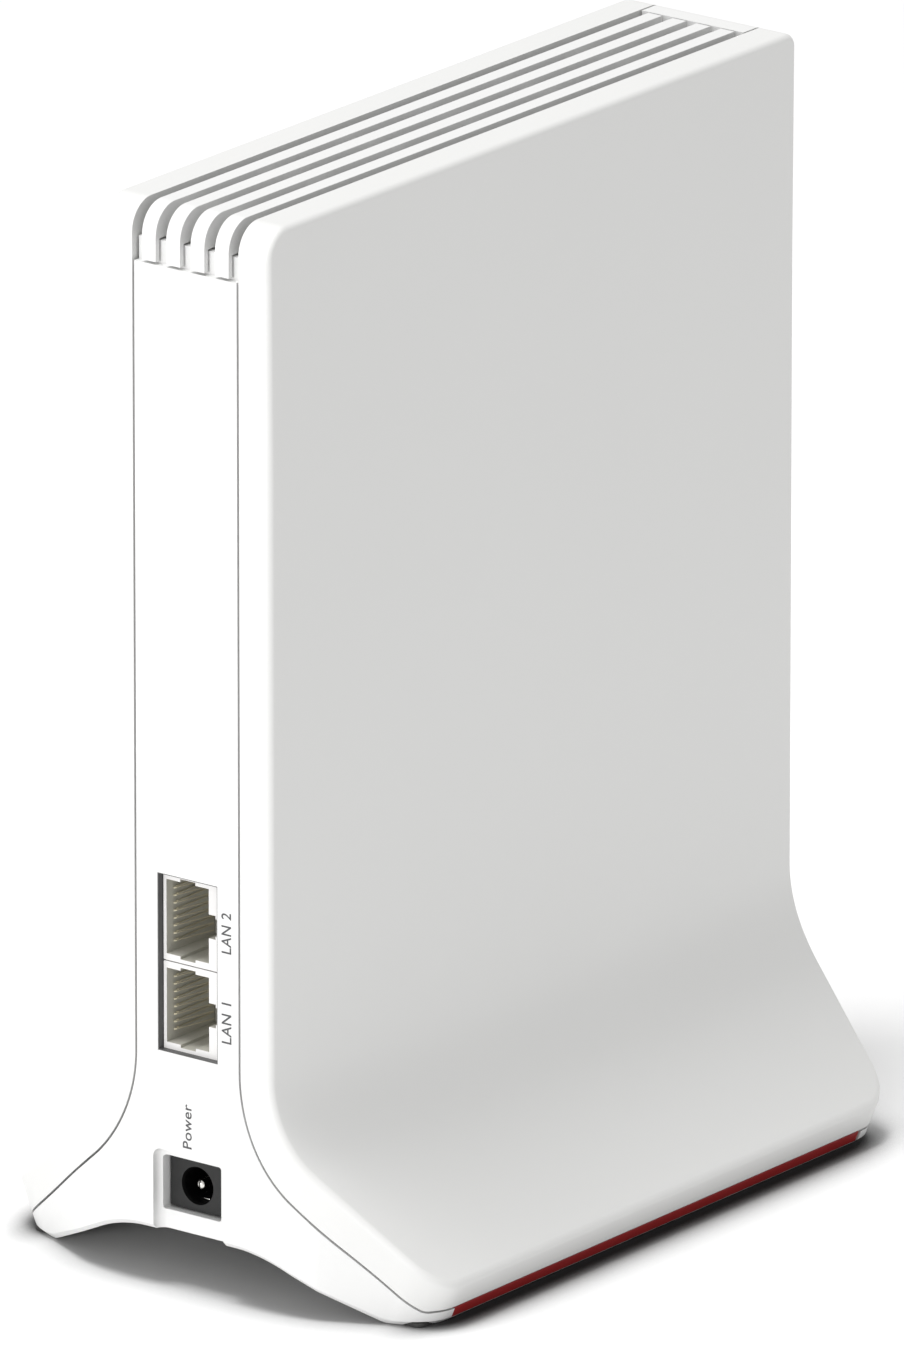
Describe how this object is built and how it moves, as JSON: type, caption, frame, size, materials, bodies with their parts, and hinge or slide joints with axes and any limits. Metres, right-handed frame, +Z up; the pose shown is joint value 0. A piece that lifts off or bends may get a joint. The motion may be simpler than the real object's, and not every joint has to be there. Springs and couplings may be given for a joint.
{
  "type": "wireless router",
  "caption": "Upright wireless router with flared base, slotted top grille, side covers, stacked network sockets, power inlet and front pairing button.",
  "frame": {"origin": "middle of the base, on the surface the router stands on", "axes": "+Z up, +Y towards the socket face, +X towards the right cover"},
  "size_m": [0.0874, 0.139, 0.1808],
  "materials": {
    "white_plastic": "satin moulded",
    "cover_plastic": "fine matte texture",
    "red_accent": "satin",
    "rubber": "matte",
    "steel": "zinc plated",
    "label_film": "matte film",
    "board_green": "solder resist",
    "chip_black": "moulded epoxy",
    "tinned_steel": "tinned",
    "aluminium": "as extruded",
    "thermal_pad": "soft pad",
    "ferrite": "sintered",
    "jack_shell": "shielded shell",
    "gold_contact": "gold plated",
    "jack_black": "glossy moulded",
    "nickel": "nickel plated",
    "switch_black": "moulded",
    "clear_guide": "clear",
    "led_resin": "clear resin",
    "antenna_laminate": "laminate",
    "lead_jacket": "smooth"
  },
  "bodies": {
    "router": {"centre_housing": "white_plastic", "top_grille": "white_plastic", "left_cover": "cover_plastic", "right_cover": "cover_plastic", "left_accent_strip": "red_accent", "right_accent_strip": "red_accent", "rubber_foot_rear_left": "rubber", "rubber_foot_rear_right": "rubber", "rubber_foot_front_left": "rubber", "rubber_foot_front_right": "rubber", "housing_screw_rear_left": "steel", "housing_screw_rear_right": "steel", "housing_screw_front_left": "steel", "housing_screw_front_right": "steel", "board_screw_1": "steel", "board_screw_2": "steel", "board_screw_3": "steel", "board_screw_4": "steel", "base_label": "label_film", "main_board": "board_green", "main_processor": "chip_black", "memory_chip": "chip_black", "flash_chip": "chip_black", "low_band_radio": "chip_black", "high_band_radio": "chip_black", "lan_transformer_1": "chip_black", "lan_transformer_2": "chip_black", "shield_can_low_band": "tinned_steel", "shield_can_high_band": "tinned_steel", "finned_heatsink": "aluminium", "back_heatsink": "aluminium", "capacitor_1": "aluminium", "capacitor_2": "aluminium", "thermal_pad_front": "thermal_pad", "thermal_pad_back": "thermal_pad", "power_inductor": "ferrite", "lan_jack_1": "jack_shell", "lan_jack_2": "jack_shell", "lan_contacts_1": "gold_contact", "lan_contacts_2": "gold_contact", "dc_jack_body": "jack_black", "dc_jack_pin": "nickel", "dc_jack_spring": "nickel", "pair_switch_body": "switch_black", "light_guide": "clear_guide", "status_led": "led_resin", "low_band_antenna_front": "antenna_laminate", "low_band_antenna_rear": "antenna_laminate", "high_band_antenna_front": "antenna_laminate", "high_band_antenna_rear": "antenna_laminate", "low_band_lead_front": "lead_jacket", "low_band_lead_rear": "lead_jacket", "high_band_lead_front": "lead_jacket", "high_band_lead_rear": "lead_jacket"},
    "button": {"pair_button": "white_plastic"},
    "plunger": {"switch_plunger": "switch_black"}
  },
  "joints": [
    {"name": "button_press", "type": "slide", "parent": "router", "child": "button", "axis": [0, 1, 0], "range_m": [0, 0.0006], "stiffness_N_per_m": 400},
    {"name": "plunger_press", "type": "slide", "parent": "router", "child": "plunger", "axis": [0, 1, 0], "range_m": [0, 0.0006], "stiffness_N_per_m": 100}
  ],
  "couplings": [
    {"joint": "plunger_press", "follows": "button_press", "ratio": 1}
  ]
}
